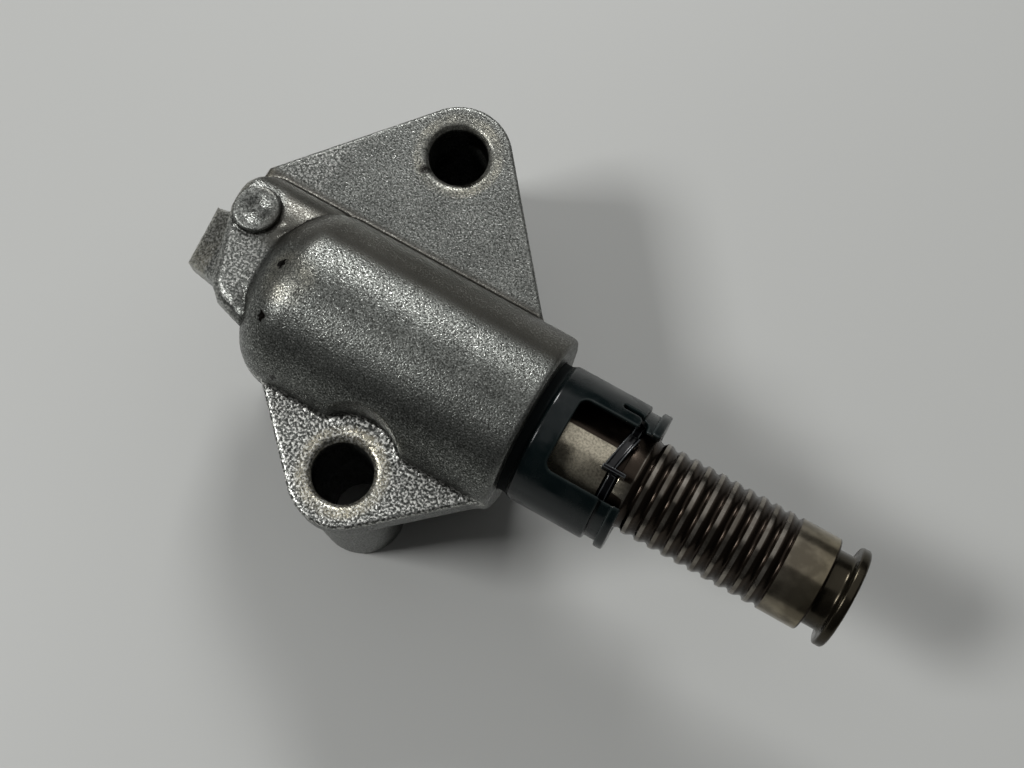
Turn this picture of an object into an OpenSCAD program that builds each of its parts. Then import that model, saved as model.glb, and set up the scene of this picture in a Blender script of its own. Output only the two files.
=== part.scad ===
// Hydraulic timing chain tensioner: a cast housing with two bolt bosses, a pressed-in retainer
// sleeve, a ratchet ring and a grooved plunger pushed out by a spring behind a check valve.
// Millimetres. The origin is the mouth of the oil inlet on the mounting face, +X is the way
// the plunger moves out, +Z points from the mounting face to the bolt heads.

/* [Housing] */
// Height of the plunger axis above the mounting face
axis_h = 24.4; // [23:0.1:27]
// Distance from the oil inlet to the nose face
nose_x = 32; // [31:0.5:38]
// Diameter of the barrel
barrel_d = 21.8; // [21:0.1:24]
// Length of the straight part of the barrel
barrel_l = 28.5; // [27:0.1:30]
// Radius of the barrel's round shoulder
shoulder_r = 6; // [4:0.1:6.5]
// Round on the nose edge
nose_round = 0.6; // [0.2:0.1:1]

/* [Flange] */
// Height of the flange's top above the mounting face
flange_h = 25.8; // [25:0.1:28]
// Thickness of the flange
flange_t = 4.5; // [3:0.1:6]
// Radius of the ears round the bolt holes
ear_r = 6.3; // [5.8:0.1:7.2]
// Distance from the oil inlet back to the flange's rear corner
flange_back_x = 9.6; // [8.5:0.1:10]
// Distance from the plunger axis to the flange's rear corner
flange_back_y = 11.4; // [11:0.1:13]
// Distance from the nose face to the end of the flange's upper side
upper_setback = 5; // [4:0.1:7]
// Distance from the nose face to the end of the flange's lower side
lower_setback = 1.1; // [0.8:0.1:3]
// Distance that the flange's sides end outside the barrel
flange_margin = 0.3; // [0.2:0.05:0.5]
// Distance that the flange's lower front end tucks into the barrel
flange_tuck = 0.1; // [0.05:0.05:0.3]
// Fillet between the barrel and the flange
flange_fillet_r = 0.6; // [0.4:0.1:2]
// Upper bolt hole, along the plunger axis
upper_hole_x = 8.75; // [6:0.05:12]
// Upper bolt hole, across the plunger axis
upper_hole_y = 23.5; // [22:0.1:26]
// Lower bolt hole, along the plunger axis
lower_hole_x = 16.4; // [14:0.1:19]
// Distance between the bolt holes, across the plunger axis
hole_span = 38.8; // [38.3:0.1:40.5]
// Diameter of the bolt holes
bolt_hole_d = 7; // [6.4:0.1:7.5]
// Chamfer on the bolt holes
bolt_hole_chamfer = 0.5; // [0.1:0.05:0.6]
// Diameter of the bolt bosses at the mounting face
boss_d = 10.8; // [10:0.1:12]
// Diameter of the bolt bosses at the flange
boss_top_d = 11.6; // [11:0.1:12.4]
// Chamfer on the bolt bosses at the mounting face
boss_chamfer = 0.5; // [0.2:0.1:0.8]
// Diameter of the spot face for the bolt head
spot_d = 13.2; // [12:0.1:15]
// Sideways lean of the spot face's wall over the barrel
spot_lean = 0.5; // [0:0.1:1]

/* [Back end] */
// Height of the platform behind the barrel
platform_h = 30.6; // [29:0.1:31.5]
// Round on the platform's edges
platform_round = 1; // [0.6:0.1:1.4]
// Height of the lug behind the platform
lug_h = 25.8; // [24:0.1:27]
// Depth of the back end below its lug top
back_depth = 11; // [9:0.1:12]
// Diameter of the ejector pad on the platform
pad_d = 5.4; // [4.6:0.1:6]
// Height of the ejector pad
pad_h = 0.9; // [0.5:0.1:1.5]
// Depth of the dish in the ejector pad
pad_dish = 0.45; // [0.2:0.05:0.6]
// Width of the ejector pad's rim
pad_rim = 0.8; // [0.5:0.1:1]
// Width of the dish's sloping wall
pad_slope = 0.7; // [0.4:0.1:1]

/* [Foot and oil inlet] */
// Width of the foot under the barrel
foot_w = 12; // [9:0.1:13]
// Distance from the oil inlet to the back of the foot
foot_back = 5; // [4:0.1:6]
// Distance from the foot's front end to the nose face
foot_setback = 3; // [2:0.1:8]
// Corner radius of the foot
foot_corner_r = 3; // [2:0.1:4]
// Diameter of the oil inlet
oil_inlet_d = 4; // [3:0.1:4.4]
// Wall between the oil inlet and the valve seat
seat_gap = 0.5; // [0.3:0.1:1]
// Diameter of the passage from the inlet to the check valve
oil_passage_d = 3; // [2.4:0.1:3.6]

/* [Sleeve] */
// Outer diameter of the retainer sleeve
sleeve_d = 16.7; // [16:0.1:17.6]
// Length of the sleeve in front of the nose
sleeve_l = 13.3; // [12.8:0.1:15]
// Diameter of the neck between the nose and the sleeve
sleeve_neck_d = 16; // [15:0.1:16]
// Length of the neck
sleeve_neck_l = 0.95; // [0.5:0.05:1.5]
// Length of the tail pressed into the nose
sleeve_tail_l = 4; // [3:0.1:6]
// Round on the sleeve's rear edge
sleeve_round = 0.7; // [0.3:0.1:1]
// Inner diameter round the ratchet ring
sleeve_bore_d = 14; // [13.6:0.1:14.4]
// Distance from the nose face to the wide bore
sleeve_step_x = 3.2; // [2.5:0.1:3.8]
// Width of the lip at the sleeve's end
lip_w = 1.1; // [0.8:0.05:1.4]
// Inner diameter of the lip
lip_bore_d = 12.6; // [12.2:0.1:13]
// Width of the outer groove behind the lip
sleeve_groove_w = 1.4; // [1:0.1:1.8]
// Depth of the outer groove
sleeve_groove_depth = 0.55; // [0.3:0.05:0.7]

/* [Window] */
// Distance from the nose face to the window
window_x = 3.95; // [3.5:0.05:5]
// Width of the window
window_w = 8.7; // [8:0.1:9.4]
// Turn of the window's middle from the top
window_turn = 2.75; // [0:0.25:6]
// Corner radius of the window
window_corner_r = 1; // [0.5:0.1:1.5]
// Width of the bent slot beside the window
slot_w = 0.5; // [0.3:0.05:0.8]
// Angle from the top to the slot's straight leg
slot_angle = 43.5; // [40:0.5:50]
// Length of the slot's straight leg
slot_l = 2.9; // [2:0.1:4]
// Radius of the slot's bend
slot_bend_r = 1.1; // [0.6:0.1:1.4]
// Distance from the sleeve's end to the slot
slot_setback = 1.9; // [1.6:0.1:2.4]

/* [Plunger] */
// Outer diameter of the plunger
plunger_d = 11.2; // [11:0.05:11.4]
// Running clearance round the plunger, on the radius
plunger_clearance = 0.05; // [0.02:0.01:0.08]
// Distance from the nose face to the plunger's end face when it is out
plunger_reach = 39.3; // [38:0.1:42]
// Length of the plunger
plunger_l = 47.3; // [46.5:0.1:48]
// Diameter of the plunger's spring bore
plunger_bore_d = 8; // [7.9:0.1:8.2]
// Wall at the plunger's closed end
plunger_end_t = 4.8; // [4:0.1:6]
// Chamfer on the plunger's open end
plunger_chamfer = 0.4; // [0.2:0.1:0.6]
// Diameter of the tip flange
tip_d = 11.9; // [11.4:0.1:12.4]
// Thickness of the tip flange
tip_t = 1.2; // [0.9:0.1:1.6]
// Diameter of the neck behind the tip flange
neck_d = 9.1; // [8.6:0.1:9.6]
// Length of the neck
neck_l = 2.25; // [1.8:0.05:2.6]
// Round on the tip flange's end face
tip_round = 0.4; // [0.2:0.05:0.5]
// Round on the tip flange's rear edge
tip_back_round = 0.3; // [0.1:0.05:0.4]
// Chamfer on the plunger behind the neck
neck_chamfer = 0.3; // [0.1:0.1:0.5]
// Fillet between the neck and the tip flange
neck_fillet_r = 0.5; // [0.3:0.1:0.8]
// Pitch of the ratchet grooves
ridge_pitch = 1.68; // [1.6:0.01:1.8]
// Number of ratchet grooves in front of the ring groove
ridge_count = 11; // [8:1:11]
// Width of the ridges between the grooves
ridge_w = 0.4; // [0.3:0.05:0.6]
// Depth of the ratchet grooves
ridge_depth = 0.35; // [0.25:0.05:0.5]
// Lean of the grooves' valleys towards the tip, 1 for none
groove_lean = 1.8; // [1:0.1:2.2]
// Depth of the groove that holds the ring
ring_groove_depth = 0.5; // [0.4:0.05:0.6]
// Width of the land between the ring groove and the ratchet grooves
land_w = 1.6; // [0.8:0.05:1.8]

/* [Ratchet ring] */
// Distance from the nose face to the middle of the ring
ring_x = 10.7; // [10.2:0.05:11]
// Width of the ring
ring_w = 0.9; // [0.7:0.05:1]
// Thickness of the ring
ring_t = 0.75; // [0.5:0.05:0.9]
// Clearance round the ring in its groove
ring_clearance = 0.12; // [0.1:0.01:0.2]
// Angle from the top to the end of the ring's ear
ear_angle = 15; // [10:0.5:20]
// Angle over which the ring steps out to its end strip
ring_step = 8; // [6:0.5:10]
// Gap between the ring's plain end and its ear
ring_gap = 2; // [1:0.5:4]
// Distance that the strip's ear sits behind the ring's middle
strip_offset = 0.8; // [0.5:0.05:1]
// Distance that the strip runs forward from its ear to the ring
strip_skew = 0.95; // [0.6:0.05:1.2]
// Width of the ring's end strip
strip_w = 1.3; // [1:0.05:1.4]
// Thickness of the ring's end strip
strip_t = 0.4; // [0.3:0.05:0.5]
// Length of the ring's bent-up ear
ear_l = 2.8; // [1.6:0.1:3]
// Distance from the strip's rear edge to the ear
ear_inset = 0.1; // [0.05:0.05:0.3]
// Height of the ring's bent-up ear
ear_h = 0.9; // [0.6:0.1:1.2]

/* [Springs and filler] */
// Wire of the plunger spring
spring_wire = 1; // [0.8:0.05:1.1]
// Outer diameter of the plunger spring
spring_d = 7.4; // [7.2:0.05:7.5]
// Turns of the plunger spring
spring_turns = 17; // [12:1:20]
// Diameter of the filler's stem
filler_d = 4.6; // [4:0.1:4.8]
// Thickness of the filler's head
filler_head_t = 1.2; // [0.8:0.1:2]
// Length of the filler's stem
filler_l = 38; // [30:0.5:38.5]
// Length of the filler's tapered tip
filler_tip_l = 1; // [0.5:0.1:2]
// Narrowing of the filler's tip, on the radius
filler_taper = 0.8; // [0.4:0.1:1]
// Clearance round the filler's head in the spring bore
filler_clearance = 0.1; // [0.05:0.05:0.2]

/* [Check valve] */
// Thickness of the valve seat
seat_t = 2.2; // [1.8:0.1:2.4]
// Diameter of the hole in the seat
seat_hole_d = 1.8; // [1.6:0.1:2]
// Width of the cone in the seat
seat_cone = 0.9; // [0.8:0.05:1]
// Diameter of the check ball
ball_d = 3; // [2.8:0.1:3.2]
// Clearance between the ball and its seat
ball_clearance = 0.05; // [0.03:0.01:0.08]
// Height that the ball lifts
ball_lift = 0.5; // [0.3:0.1:0.6]
// Thickness of the valve cage
cage_t = 0.6; // [0.4:0.05:0.7]
// Wall of the valve cage's cup
cage_wall = 0.35; // [0.25:0.05:0.4]
// Clearance round the ball in the cage
cage_clearance = 0.35; // [0.3:0.05:0.4]
// Diameter of the valve cage
cage_d = 10.4; // [9.6:0.1:10.8]
// Windows in the cage
cage_windows = 3; // [2:1:4]
// Width of a cage window
cage_window_w = 1.2; // [0.8:0.1:1.4]
// Web at each end of a cage window
cage_web = 0.2; // [0.1:0.05:0.3]
// Wire of the ball spring
ball_spring_wire = 0.2; // [0.15:0.05:0.25]
// Mean diameter of the ball spring
ball_spring_d = 1.8; // [1.6:0.1:2]
// Turns of the ball spring
ball_spring_turns = 3; // [3:1:4]
// Clearance between the ball and its spring
ball_spring_gap = 0.1; // [0.08:0.01:0.2]

/* [Hidden] */
$fn = 64;

soft_fn = 32;
over = 0.5;
tiny = 0.01;
far = 40;
groove_steps = 8;
sector_steps = 4;
coil_steps = 20;
coil_sides = 8;
closed_pitch = 1.1;

barrel_r = barrel_d / 2;
plunger_r = plunger_d / 2;
bore_r = plunger_r + plunger_clearance;

// Outline points of the flange where its straight sides end
upper_back = [-flange_back_x, flange_back_y];
upper_front = [nose_x - upper_setback, barrel_r + flange_margin];
lower_back = [nose_x - barrel_l - flange_tuck, -barrel_r - flange_margin];
lower_front = [nose_x - lower_setback, flange_tuck - barrel_r];
upper_hole = [upper_hole_x, upper_hole_y];
lower_hole = [lower_hole_x, upper_hole_y - hole_span];

// Outlines of the platform and the lug, seen from above
platform_top = [[-2.9, 11.2], [-8.7, 6.9], [-8.5, 4.4], [-4.9, -5.8], [-1.8, -6], [3, -5], [3, 11.2]];
platform_base = [[-7.5, 12], [-9.6, 7.6], [-9.3, 4], [-5.3, -6.4], [-1.8, -6.8], [3, -5], [6, 12]];
lug_top = [[-8.6, 3.4], [-6, -3.6], [-2.8, -5]];
lug_base = [[-11.9, 3.4], [-10.8, -2.9], [-8.8, -4.5], [-2.6, -5.4], [-2.6, 3.4]];
pad_at = [-6.4, 5];

// Places along the plunger axis, from the nose face
bore_end = oil_inlet_d / 2 + seat_gap - nose_x;
seat_front = bore_end + seat_t;
cage_front = seat_front + cage_t;
ball_r = ball_d / 2;
seat_hole_r = seat_hole_d / 2;
ball_x = seat_front - seat_cone - seat_hole_r + (ball_r + ball_clearance) * sqrt(2);
ball_spring_r = ball_spring_d / 2;
ball_spring_x = ball_x + sqrt(ball_r * ball_r - ball_spring_r * ball_spring_r) + ball_spring_gap;
ball_spring_l = ball_lift + (1 + closed_pitch * ball_spring_turns) * ball_spring_wire;
cage_top = ball_spring_x + ball_spring_l;
cup_r = ball_r + cage_clearance;

plunger_rear = plunger_reach - plunger_l;
plunger_floor = plunger_reach - plunger_end_t;
filler_head_x = plunger_floor - filler_head_t;
filler_tip_x = filler_head_x - filler_l;
neck_x = plunger_reach - tip_t - neck_l;

ring_in_r = plunger_r - ring_groove_depth + ring_clearance;
ring_out_r = ring_in_r + ring_t;
ring_groove_w = ring_w + 4 * ring_clearance;
ridges_x = ring_x + ring_groove_w / 2 + land_w;
strip_r = ring_out_r + ring_clearance;

lip_x = sleeve_l - lip_w;
sleeve_r = sleeve_d / 2;
tail_r = sleeve_neck_d / 2;
slot_x = sleeve_l - slot_setback - slot_w;
window_left = asin(window_w / sleeve_d) - window_turn;
slot_reach = sleeve_r * sin(slot_angle - window_left) + over;
strip_half = (ear_angle + window_left + ring_step / 2) / 2;
strip_reach = (strip_r + strip_t / 2) * sin(strip_half);

// Places a part on the plunger axis: its own z runs along +X from the nose face, and its own
// angles run from the top towards -Y.
module on_axis(at = 0) {
    translate([nose_x + at, 0, axis_h])
        rotate([0, 90, 0])
            rotate([0, 0, 180])
                children();
}

// Disc or tube along its own z between two places
module span(from, to, r, r_end = undef) {
    translate([0, 0, from])
        cylinder(h = to - from, r1 = r, r2 = is_undef(r_end) ? r : r_end);
}

// What a round of radius r takes off an outer corner at [x, y] of a profile
module corner_round(x, y, r, top = true) {
    side = top ? 1 : -1;
    difference() {
        translate([x - r, top ? y - r : y - over])
            square([r + over, r + over]);
        translate([x - r, y - side * r])
            circle(r);
    }
}

// Pie slice between two angles
module sector(a, b, r) {
    step = (b - a) / sector_steps;
    polygon([[0, 0], for (i = [0:sector_steps]) r * [cos(a + step * i), sin(a + step * i)]]);
}

// Point where a line from p touches a circle
function touch(c, r, p, side) =
    let (d = p - c, turn = atan2(d[1], d[0]) + side * acos(r / norm(d)))
    c + r * [cos(turn), sin(turn)];

// Ear round a bolt hole, with straight sides down to two points beside the barrel
module ear_outline(hole, p, q, side) {
    translate(hole)
        circle(ear_r);
    polygon([hole, touch(hole, ear_r, p, side), p, [p[0], 0], [q[0], 0], q, touch(hole, ear_r, q, -side)]);
}

module flange_outline() {
    ear_outline(upper_hole, upper_back, upper_front, -1);
    ear_outline(lower_hole, lower_back, lower_front, 1);
}

// Barrel with its round shoulder and nose edge
module barrel() {
    on_axis()
        rotate_extrude()
            difference() {
                translate([0, -barrel_l - shoulder_r])
                    square([barrel_r, barrel_l + shoulder_r]);
                corner_round(barrel_r, 0, nose_round);
                corner_round(barrel_r, -barrel_l - shoulder_r, shoulder_r, top = false);
            }
}

// Fillets along the barrel and the platform where they meet the flange's top
module flange_fillets() {
    start = platform_base[0][0];
    rise = flange_h + flange_fillet_r - axis_h;
    out = sqrt(pow(barrel_r + flange_fillet_r, 2) - rise * rise);
    intersection() {
        translate([start, 0, axis_h])
            rotate([90, 0, 90])
                linear_extrude(nose_x - nose_round - start)
                    for (side = [0, 1])
                        mirror([side, 0])
                            difference() {
                                polygon([[0, 0], [0, rise], [out, rise], [out, flange_h - axis_h - over]]);
                                translate([out, rise])
                                    circle(flange_fillet_r);
                            }
        translate([0, 0, flange_h - over])
            linear_extrude(far)
                flange_outline();
    }
}

// Loft between a wide lower outline and a rounded upper one
module soft_block(base, base_z, low_z, top, top_z, r) {
    hull() {
        for (p = base)
            translate([p[0], p[1], low_z])
                cylinder(h = base_z - low_z, r = r, $fn = soft_fn);
        for (p = top)
            translate([p[0], p[1], top_z - r])
                sphere(r, $fn = soft_fn);
    }
}

// Platform whose sides carry the barrel's flanks on, and the lug behind it
module back_end() {
    low = lug_h - back_depth;
    intersection() {
        soft_block(platform_base, flange_h, low, platform_top, platform_h, platform_round);
        on_axis()
            span(-nose_x - far, 0, barrel_r);
    }
    soft_block(lug_base, lug_h - platform_round, low, lug_top, (lug_h + platform_h) / 2, platform_round);
    translate([pad_at[0], pad_at[1], platform_h - over])
        difference() {
            cylinder(h = pad_h + over, d = pad_d);
            translate([0, 0, pad_h + over - pad_dish])
                cylinder(h = pad_dish + tiny, r1 = pad_d / 2 - pad_rim - pad_slope, r2 = pad_d / 2 - pad_rim);
        }
}

module bolt_bosses() {
    for (hole = [upper_hole, lower_hole])
        translate(hole) {
            cylinder(h = boss_chamfer, d1 = boss_d - 2 * boss_chamfer, d2 = boss_d);
            translate([0, 0, boss_chamfer])
                cylinder(h = flange_h - flange_t - boss_chamfer + over, d1 = boss_d, d2 = boss_top_d);
        }
}

// Foot under the barrel that carries the oil inlet down to the mounting face
module foot() {
    l = nose_x - foot_setback + foot_back;
    translate([-foot_back, -foot_w / 2, 0])
        linear_extrude(axis_h - barrel_r / 2) {
            translate([foot_corner_r, 0])
                square([l - 2 * foot_corner_r, foot_w]);
            translate([0, foot_corner_r])
                square([l, foot_w - 2 * foot_corner_r]);
            for (x = [foot_corner_r, l - foot_corner_r], y = [foot_corner_r, foot_w - foot_corner_r])
                translate([x, y])
                    circle(foot_corner_r);
        }
}

module bolt_hole() {
    translate([0, 0, -over])
        cylinder(h = flange_h + 2 * over, d = bolt_hole_d);
    translate([0, 0, flange_h - bolt_hole_chamfer])
        cylinder(h = bolt_hole_chamfer + tiny, d1 = bolt_hole_d, d2 = bolt_hole_d + 2 * bolt_hole_chamfer);
}

module housing() {
    color("#8f918e")
    difference() {
        union() {
            difference() {
                union() {
                    barrel();
                    flange_fillets();
                }
                translate([lower_hole[0], lower_hole[1], flange_h])
                    cylinder(h = far, r1 = spot_d / 2, r2 = spot_d / 2 + spot_lean * far / barrel_r);
            }
            translate([0, 0, flange_h - flange_t])
                linear_extrude(flange_t)
                    flange_outline();
            bolt_bosses();
            back_end();
            foot();
        }
        for (hole = [upper_hole, lower_hole])
            translate(hole)
                bolt_hole();
        on_axis() {
            span(bore_end, over, bore_r);
            span(-sleeve_tail_l, over, tail_r);
            span(-nose_x, bore_end + over, oil_passage_d / 2);
        }
        translate([0, 0, -over])
            cylinder(h = axis_h + over, d = oil_inlet_d);
    }
}

// Window in the top of the sleeve, open through its end, with round rear corners
module window_cut() {
    r = window_corner_r;
    rotate([0, 0, window_turn])
        translate([0, 0, window_x])
            rotate([90, 0, 90])
                linear_extrude(far) {
                    translate([r - window_w / 2, 0])
                        square([window_w - 2 * r, sleeve_l]);
                    translate([-window_w / 2, r])
                        square([window_w, sleeve_l]);
                    for (side = [-1, 1])
                        translate([side * (window_w / 2 - r), r])
                            circle(r);
                }
}

// Narrow bent slot that leaves a springy tongue beside the window
module slot_cut() {
    start = slot_x + slot_w - slot_l;
    bend_x = slot_x + slot_w / 2 - slot_bend_r;
    rotate([0, 0, -slot_angle])
        rotate([90, 0, 90])
            linear_extrude(far) {
                translate([-slot_w / 2, start])
                    square([slot_w, bend_x - start]);
                translate([slot_bend_r, slot_x])
                    square([slot_reach - slot_bend_r, slot_w]);
                intersection() {
                    translate([slot_bend_r, bend_x])
                        difference() {
                            circle(slot_bend_r + slot_w / 2);
                            circle(slot_bend_r - slot_w / 2);
                        }
                    translate([-slot_w, bend_x])
                        square(slot_bend_r + slot_w);
                }
            }
}

module retainer_sleeve() {
    color("#1c2424")
    on_axis()
        difference() {
            rotate_extrude()
                difference() {
                    union() {
                        translate([0, -sleeve_tail_l])
                            square([tail_r, sleeve_tail_l + sleeve_neck_l + over]);
                        translate([0, sleeve_neck_l])
                            square([sleeve_r, sleeve_l - sleeve_neck_l]);
                    }
                    corner_round(sleeve_r, sleeve_neck_l, sleeve_round, top = false);
                    translate([sleeve_r - sleeve_groove_depth, lip_x - sleeve_groove_w])
                        square([far, sleeve_groove_w]);
                }
            span(-sleeve_tail_l - over, sleeve_step_x + over, bore_r);
            span(sleeve_step_x, lip_x, sleeve_bore_d / 2);
            span(lip_x - over, sleeve_l + over, lip_bore_d / 2);
            window_cut();
            slot_cut();
        }
}

// Open ring in the rearmost groove: one end steps out to a strip that crosses the window and
// ends in a bent-up ear.
module ratchet_ring() {
    ear_at = ring_x - strip_w / 2 - strip_offset;
    color("#141414")
    on_axis() {
        difference() {
            span(ring_x - ring_w / 2, ring_x + ring_w / 2, ring_out_r);
            span(ring_x - ring_w, ring_x + ring_w, ring_in_r);
            translate([0, 0, ring_x - ring_w])
                linear_extrude(2 * ring_w)
                    sector(ring_step / 2 - window_left, ear_angle + ring_gap, far);
        }
        intersection() {
            difference() {
                span(ear_at - over, ear_at + strip_skew + strip_w + over, strip_r + strip_t);
                span(ear_at - 2 * over, ear_at + strip_skew + strip_w + 2 * over, strip_r);
            }
            rotate([0, 0, ear_angle - strip_half])
                rotate([90, 0, 90])
                    linear_extrude(far)
                        polygon([
                            [-strip_reach, ear_at + strip_skew],
                            [strip_reach, ear_at],
                            [strip_reach, ear_at + strip_w],
                            [-strip_reach, ear_at + strip_skew + strip_w]
                        ]);
        }
        intersection() {
            difference() {
                span(ring_x - ring_w / 2, ring_x + ring_w / 2, strip_r + strip_t);
                span(ring_x - ring_w, ring_x + ring_w, ring_in_r);
            }
            translate([0, 0, ring_x - ring_w])
                linear_extrude(2 * ring_w)
                    sector(-window_left - ring_step / 2, ring_step / 2 - window_left, far);
        }
        rotate([0, 0, ear_angle])
            translate([strip_r + strip_t / 2, -strip_t, ear_at + ear_inset])
                cube([strip_t / 2 + ear_h, strip_t, ear_l]);
    }
}

// Half profile of one ratchet groove: an easy slope down, a round valley and a steep wall
function groove_points(start) = [
    for (i = [0:groove_steps])
        let (t = i / groove_steps)
        [plunger_r - ridge_depth * sin(180 * pow(t, groove_lean)), start + (ridge_pitch - ridge_w) * t]
];

// Steel cup with ratchet grooves, a plain end, a neck and a tip flange
module plunger() {
    color("#7d7668")
    on_axis()
        difference() {
            rotate_extrude()
                difference() {
                    union() {
                        polygon([
                            [0, plunger_rear],
                            [plunger_r - plunger_chamfer, plunger_rear],
                            [plunger_r, plunger_rear + plunger_chamfer],
                            [plunger_r, ring_x - ring_groove_w / 2],
                            [plunger_r - ring_groove_depth, ring_x - ring_groove_w / 2],
                            [plunger_r - ring_groove_depth, ring_x + ring_groove_w / 2],
                            [plunger_r, ring_x + ring_groove_w / 2],
                            for (i = [0:ridge_count - 1])
                                each groove_points(ridges_x + i * ridge_pitch),
                            [plunger_r, neck_x - neck_chamfer],
                            [plunger_r - neck_chamfer, neck_x],
                            [neck_d / 2, neck_x],
                            [neck_d / 2, plunger_reach - tip_t],
                            [0, plunger_reach - tip_t]
                        ]);
                        translate([0, plunger_reach - tip_t])
                            square([tip_d / 2, tip_t]);
                        translate([0, plunger_reach - tip_t - neck_fillet_r])
                            square([neck_d / 2 + neck_fillet_r, neck_fillet_r + over]);
                    }
                    translate([neck_d / 2 + neck_fillet_r, plunger_reach - tip_t - neck_fillet_r])
                        circle(neck_fillet_r);
                    corner_round(tip_d / 2, plunger_reach, tip_round);
                    corner_round(tip_d / 2, plunger_reach - tip_t, tip_back_round, top = false);
                }
            span(plunger_rear - over, plunger_floor, plunger_bore_d / 2);
        }
}

// Wire swept along a helix round z, with closed end turns
module coil(from, to, mean_r, wire, turns) {
    steps = coil_steps;
    sides = coil_sides;
    n = turns * steps;
    closed = closed_pitch * wire;
    open_pitch = (to - from - wire - 2 * closed) / (turns - 2);
    climb = function (t)
        closed * (min(t, 1) + max(t - turns + 1, 0)) + open_pitch * max(min(t, turns - 1) - 1, 0);
    mid = [
        for (i = [0:n])
            let (t = i / steps)
            [mean_r * cos(360 * t), mean_r * sin(360 * t), from + wire / 2 + climb(t)]
    ];
    points = [
        for (i = [0:n], k = [0:sides - 1])
            let (a = 360 * i / steps, b = 360 * k / sides, r = wire / 2 * cos(b))
            mid[i] + [r * cos(a), r * sin(a), wire / 2 * sin(b)]
    ];
    walls = [
        for (i = [0:n - 1], k = [0:sides - 1])
            let (k2 = (k + 1) % sides)
            [i * sides + k, (i + 1) * sides + k, (i + 1) * sides + k2, i * sides + k2]
    ];
    first = [for (k = [0:sides - 1]) k];
    last = [for (k = [sides - 1:-1:0]) n * sides + k];
    polyhedron(points, concat(walls, [first], [last]), convexity = 10);
}

module plunger_spring() {
    color("#8a8a86")
    on_axis()
        coil(cage_front, filler_head_x, (spring_d - spring_wire) / 2, spring_wire, spring_turns);
}

// Filler inside the spring that takes up room in the oil chamber
module plunger_filler() {
    color("#2b2b2b")
    on_axis() {
        span(filler_head_x, plunger_floor, plunger_bore_d / 2 - filler_clearance);
        span(filler_tip_x + filler_tip_l, filler_head_x, filler_d / 2);
        span(filler_tip_x, filler_tip_x + filler_tip_l, filler_d / 2 - filler_taper, filler_d / 2);
    }
}

// Plug at the bottom of the bore, with a cone for the ball
module valve_seat() {
    color("#9a9a96")
    on_axis()
        difference() {
            span(bore_end, seat_front, bore_r);
            span(bore_end - over, seat_front + over, seat_hole_r);
            span(seat_front - seat_cone, seat_front + tiny, seat_hole_r, seat_hole_r + seat_cone + tiny);
        }
}

module check_ball() {
    color("#c8c8c4")
    on_axis(ball_x)
        sphere(ball_r);
}

module check_ball_spring() {
    color("#8a8a86")
    on_axis()
        coil(ball_spring_x, cage_top, ball_spring_r, ball_spring_wire, ball_spring_turns);
}

// Pressed cup that holds the ball and its spring, with windows for the oil
module valve_cage() {
    color("#a8a49a")
    on_axis()
        difference() {
            union() {
                span(seat_front, cage_front, cage_d / 2);
                span(seat_front, cage_top + cage_wall, cup_r + cage_wall);
            }
            span(seat_front - over, cage_top, cup_r);
            for (i = [0:cage_windows - 1])
                rotate([0, 0, 360 * i / cage_windows])
                    translate([0, -cage_window_w / 2, cage_front + cage_web])
                        cube([far, cage_window_w, cage_top - cage_front - 2 * cage_web]);
        }
}

housing();
retainer_sleeve();
ratchet_ring();
plunger();
plunger_spring();
plunger_filler();
valve_seat();
check_ball();
check_ball_spring();
valve_cage();
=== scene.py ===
"""Looks of a hydraulic timing chain tensioner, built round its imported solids.

Shapes are worked out in millimetres in the part's own frame: the origin is the oil inlet's mouth
on the mounting face, +X is the way the plunger moves out, +Y points to the upper bolt hole and
+Z to the bolt heads. Castings and pressings are distance fields turned into meshes, turned pieces
are profiles carried round the plunger axis, and springs are wires carried along a helix.
"""

from __future__ import annotations

import logging
import math
from dataclasses import dataclass
from enum import Enum
from typing import Callable, Sequence

import bmesh
import bpy
import numpy as np
from bpy.types import Material, NodeSocket, NodeTree, Object
from mathutils import Matrix, Vector

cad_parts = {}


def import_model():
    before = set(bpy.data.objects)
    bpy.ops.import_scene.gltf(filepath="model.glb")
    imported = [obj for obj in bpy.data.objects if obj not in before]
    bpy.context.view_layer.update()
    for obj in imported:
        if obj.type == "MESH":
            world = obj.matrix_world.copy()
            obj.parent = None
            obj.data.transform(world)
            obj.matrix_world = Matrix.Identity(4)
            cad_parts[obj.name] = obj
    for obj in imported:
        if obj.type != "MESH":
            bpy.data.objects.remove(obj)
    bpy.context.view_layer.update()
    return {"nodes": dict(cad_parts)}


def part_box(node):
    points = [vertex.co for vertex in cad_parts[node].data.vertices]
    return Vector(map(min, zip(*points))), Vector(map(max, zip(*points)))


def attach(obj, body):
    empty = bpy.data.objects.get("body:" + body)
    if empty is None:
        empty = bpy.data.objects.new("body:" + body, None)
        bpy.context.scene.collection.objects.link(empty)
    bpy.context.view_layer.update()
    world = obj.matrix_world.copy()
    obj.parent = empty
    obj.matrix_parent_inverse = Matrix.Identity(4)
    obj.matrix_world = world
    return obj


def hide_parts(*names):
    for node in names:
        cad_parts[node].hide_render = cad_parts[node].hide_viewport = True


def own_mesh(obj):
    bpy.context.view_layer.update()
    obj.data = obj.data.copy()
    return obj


LOG = logging.getLogger("tensioner")
Array = np.ndarray
Field = Callable[[Array], Array]
Amount = float | Array
Pair = tuple[float, float]
Stops = Sequence[Pair]
Place = tuple[float, float, float]
Colour = tuple[float, float, float, float]
MM = 0.001
# Factors that keep a 45 degree chamfer's field, and a sloping top's, near a true distance
CHAMFER_SCALE = 0.707
SLOPE_SCALE = 0.9
# How often a meshed field's points are drawn onto it
DRAWS = 3
SHARP_DEG = 35.0
MERGE_M = 1e-7
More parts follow.
